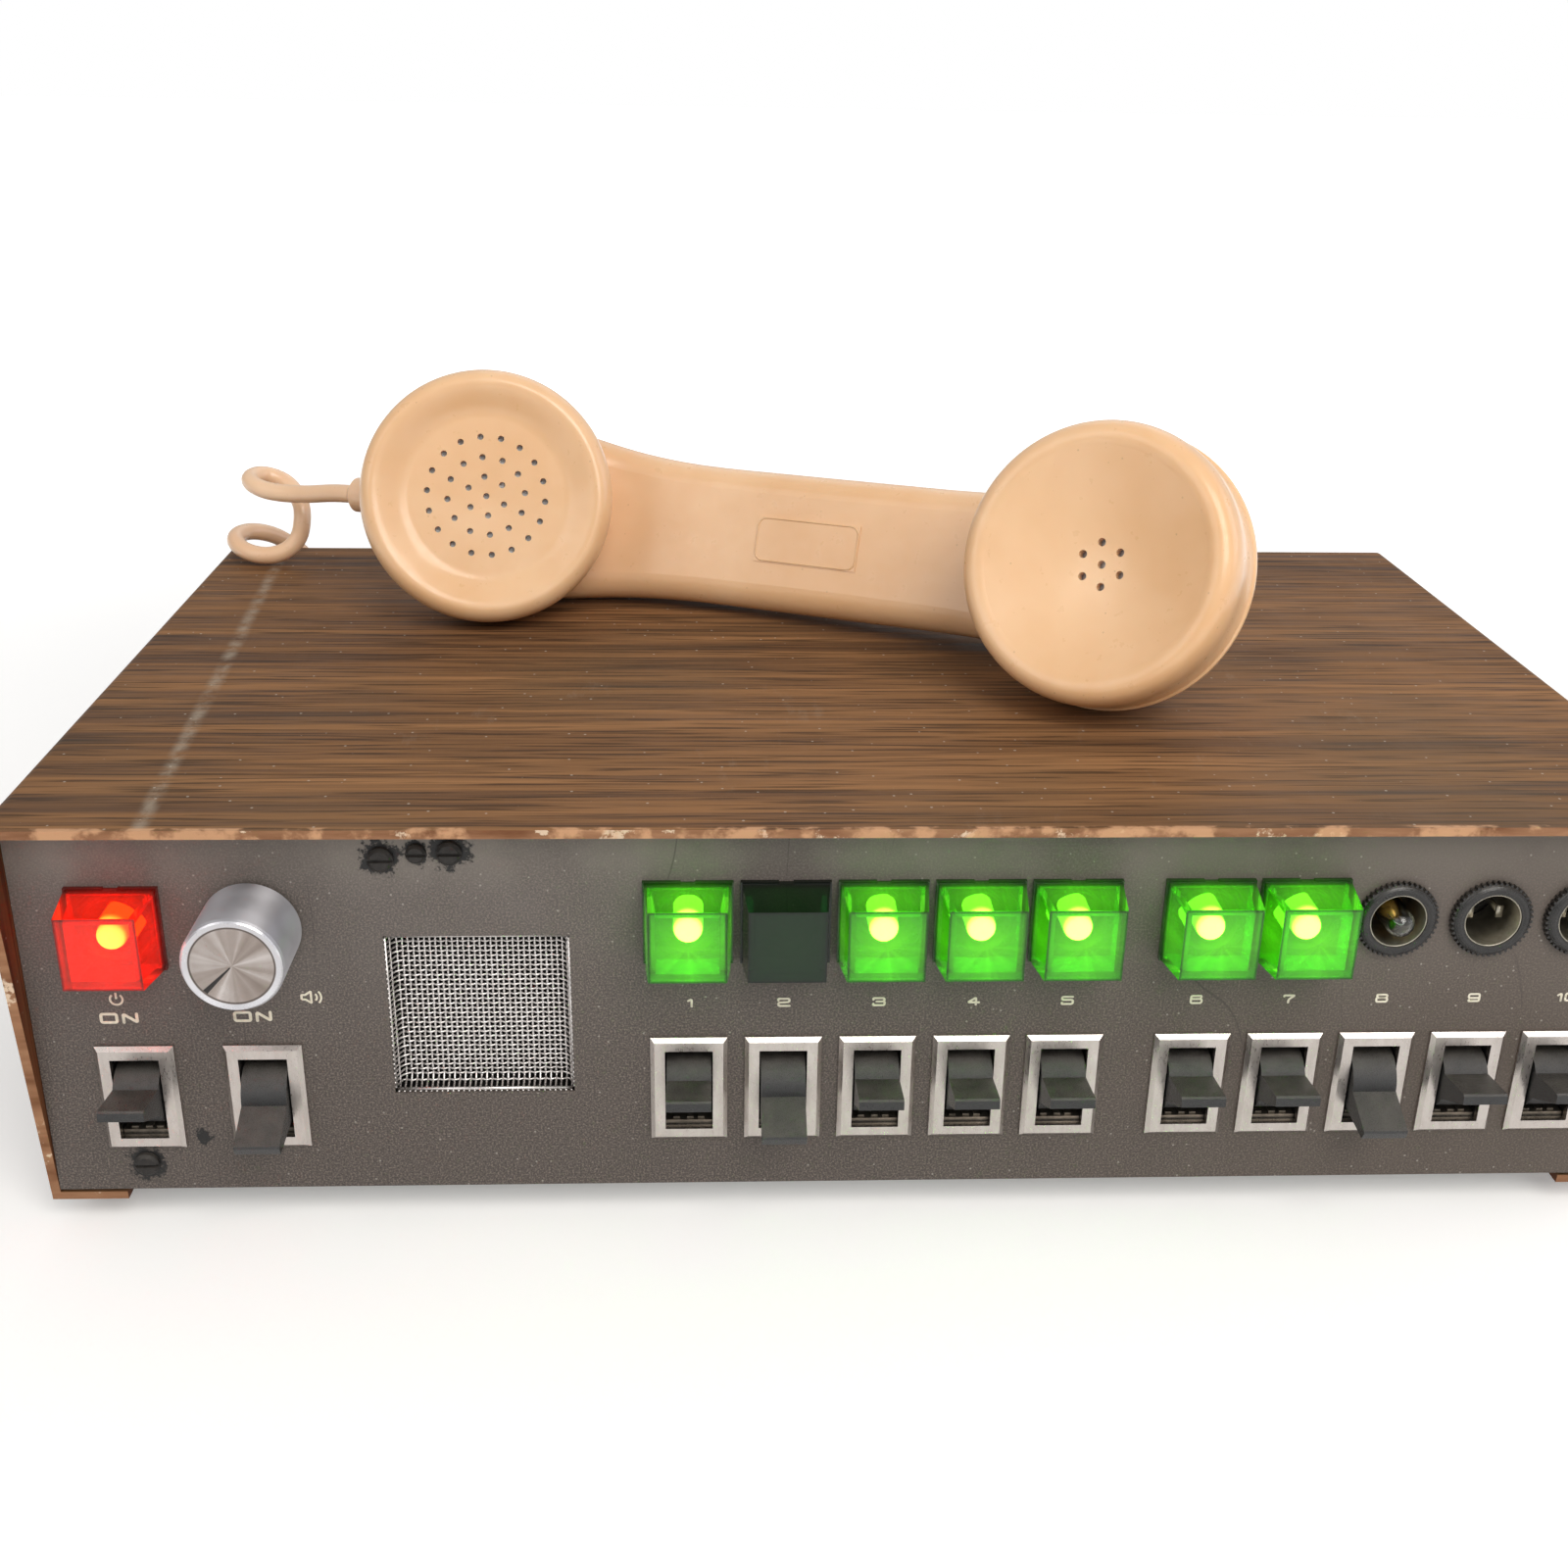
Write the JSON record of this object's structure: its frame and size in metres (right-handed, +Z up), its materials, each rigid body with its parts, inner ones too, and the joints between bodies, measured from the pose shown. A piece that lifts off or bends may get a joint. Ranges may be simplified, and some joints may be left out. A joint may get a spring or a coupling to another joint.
{
  "type": "desk intercom",
  "caption": "Desk intercom: woodgrain cabinet with numbered lamp buttons, paddle switches, volume knob, wire speaker grille, and a handset on a curly cord.",
  "frame": {"origin": "on the desk, under the middle of the object's box without its cord", "axes": "+Z up, +X to the right of someone facing the panel, -Y towards that person"},
  "size_m": [0.3544, 0.2618, 0.1666],
  "materials": {
    "woodgrain_vinyl": "satin",
    "panel_paint": "matte",
    "chassis_steel": "satin",
    "rubber": "matte",
    "blackened_screw": "matte",
    "zinc_screw": "satin",
    "grille_wire": "satin",
    "speaker_steel": "satin",
    "speaker_paper": "matte",
    "magnet": "matte",
    "pot_metal": "satin",
    "spun_aluminium": "brushed",
    "black_plastic": "satin",
    "black_texture": "textured",
    "satin_nickel": "satin",
    "brass": "satin",
    "bulb_glass": "clear",
    "red_lens": "gloss",
    "green_lens": "gloss",
    "handset_plastic": "satin",
    "capsule_metal": "satin",
    "cord_rubber": "satin",
    "brown_plastic": "matte",
    "core_iron": "matte",
    "coil_tape": "matte",
    "capacitor_can": "satin",
    "board": "matte"
  },
  "bodies": {
    "cabinet": {"cabinet_sleeve": "woodgrain_vinyl", "chassis_tray": "chassis_steel", "front_panel": "panel_paint", "rear_panel": "chassis_steel", "rubber_feet": "rubber", "bottom_screws": "zinc_screw", "panel_screws": "blackened_screw", "rear_panel_screws": "zinc_screw", "speaker_grille": "grille_wire", "speaker_basket": "speaker_steel", "speaker_cone": "speaker_paper", "speaker_magnet": "magnet", "volume_pot_body": "pot_metal", "volume_pot_nut": "pot_metal", "lamp_holders": "black_plastic", "open_lamp_holders": "black_plastic", "lamp_bulbs": "bulb_glass", "power_lens": "red_lens", "switch_bezels": "satin_nickel", "switch_bodies": "black_plastic", "switch_terminals": "brass", "handset_cord": "cord_rubber", "rear_cord_bush": "rubber", "mains_grommet": "rubber", "fuse_holder": "black_plastic", "terminal_strip": "brown_plastic", "terminal_screws": "brass", "circuit_board": "board", "board_standoffs": "brass", "transformer_core": "core_iron", "transformer_coil": "coil_tape", "filter_capacitor": "capacitor_can", "station_1_lens": "green_lens", "station_2_lens": "green_lens", "station_3_lens": "green_lens", "station_4_lens": "green_lens", "station_5_lens": "green_lens", "station_6_lens": "green_lens", "station_7_lens": "green_lens"},
    "volume_knob": {"volume_knob": "spun_aluminium", "knob_grub_screw": "blackened_screw", "volume_pot_shaft": "pot_metal"},
    "handset": {"handset_handle": "handset_plastic", "transmitter_cap": "handset_plastic", "receiver_cap": "handset_plastic", "transmitter_capsule": "capsule_metal", "receiver_capsule": "capsule_metal", "handset_cord_bush": "cord_rubber"},
    "power_switch": {"power_paddle": "black_texture"},
    "speaker_switch": {"speaker_paddle": "black_texture"},
    "station_1_switch": {"station_1_paddle": "black_texture"},
    "station_2_switch": {"station_2_paddle": "black_texture"},
    "station_3_switch": {"station_3_paddle": "black_texture"},
    "station_4_switch": {"station_4_paddle": "black_texture"},
    "station_5_switch": {"station_5_paddle": "black_texture"},
    "station_6_switch": {"station_6_paddle": "black_texture"},
    "station_7_switch": {"station_7_paddle": "black_texture"},
    "station_8_switch": {"station_8_paddle": "black_texture"},
    "station_9_switch": {"station_9_paddle": "black_texture"},
    "station_10_switch": {"station_10_paddle": "black_texture"}
  },
  "joints": [
    {"name": "volume_turn", "type": "hinge", "parent": "cabinet", "child": "volume_knob", "pos_m": [-0.127, -0.0939, 0.07375], "axis": [0, 1, 0], "range_deg": [-20, 280]},
    {"name": "power_rock", "type": "hinge", "parent": "cabinet", "child": "power_switch", "pos_m": [-0.1545, -0.0912, 0.0329], "axis": [1, 0, 0], "range_deg": [0, 32]},
    {"name": "speaker_rock", "type": "hinge", "parent": "cabinet", "child": "speaker_switch", "pos_m": [-0.1276, -0.0912, 0.0329], "axis": [1, 0, 0], "range_deg": [-32, 0]},
    {"name": "station_1_rock", "type": "hinge", "parent": "cabinet", "child": "station_1_switch", "pos_m": [-0.03708, -0.0912, 0.034], "axis": [1, 0, 0], "range_deg": [0, 32]},
    {"name": "station_2_rock", "type": "hinge", "parent": "cabinet", "child": "station_2_switch", "pos_m": [-0.01676, -0.0912, 0.034], "axis": [1, 0, 0], "range_deg": [-32, 0]},
    {"name": "station_3_rock", "type": "hinge", "parent": "cabinet", "child": "station_3_switch", "pos_m": [0.00356, -0.0912, 0.034], "axis": [1, 0, 0], "range_deg": [0, 32]},
    {"name": "station_4_rock", "type": "hinge", "parent": "cabinet", "child": "station_4_switch", "pos_m": [0.02388, -0.0912, 0.034], "axis": [1, 0, 0], "range_deg": [0, 32]},
    {"name": "station_5_rock", "type": "hinge", "parent": "cabinet", "child": "station_5_switch", "pos_m": [0.0442, -0.0912, 0.034], "axis": [1, 0, 0], "range_deg": [0, 32]},
    {"name": "station_6_rock", "type": "hinge", "parent": "cabinet", "child": "station_6_switch", "pos_m": [0.07218, -0.0912, 0.034], "axis": [1, 0, 0], "range_deg": [0, 32]},
    {"name": "station_7_rock", "type": "hinge", "parent": "cabinet", "child": "station_7_switch", "pos_m": [0.0925, -0.0912, 0.034], "axis": [1, 0, 0], "range_deg": [0, 32]},
    {"name": "station_8_rock", "type": "hinge", "parent": "cabinet", "child": "station_8_switch", "pos_m": [0.11282, -0.0912, 0.034], "axis": [1, 0, 0], "range_deg": [-32, 0]},
    {"name": "station_9_rock", "type": "hinge", "parent": "cabinet", "child": "station_9_switch", "pos_m": [0.13314, -0.0912, 0.034], "axis": [1, 0, 0], "range_deg": [0, 32]},
    {"name": "station_10_rock", "type": "hinge", "parent": "cabinet", "child": "station_10_switch", "pos_m": [0.15346, -0.0912, 0.034], "axis": [1, 0, 0], "range_deg": [0, 32]},
    {"name": "handset_lift", "type": "slide", "parent": "cabinet", "child": "handset", "axis": [0, 0, 1], "range_m": [0, 0.06], "deforming": ["handset_cord"]}
  ]
}
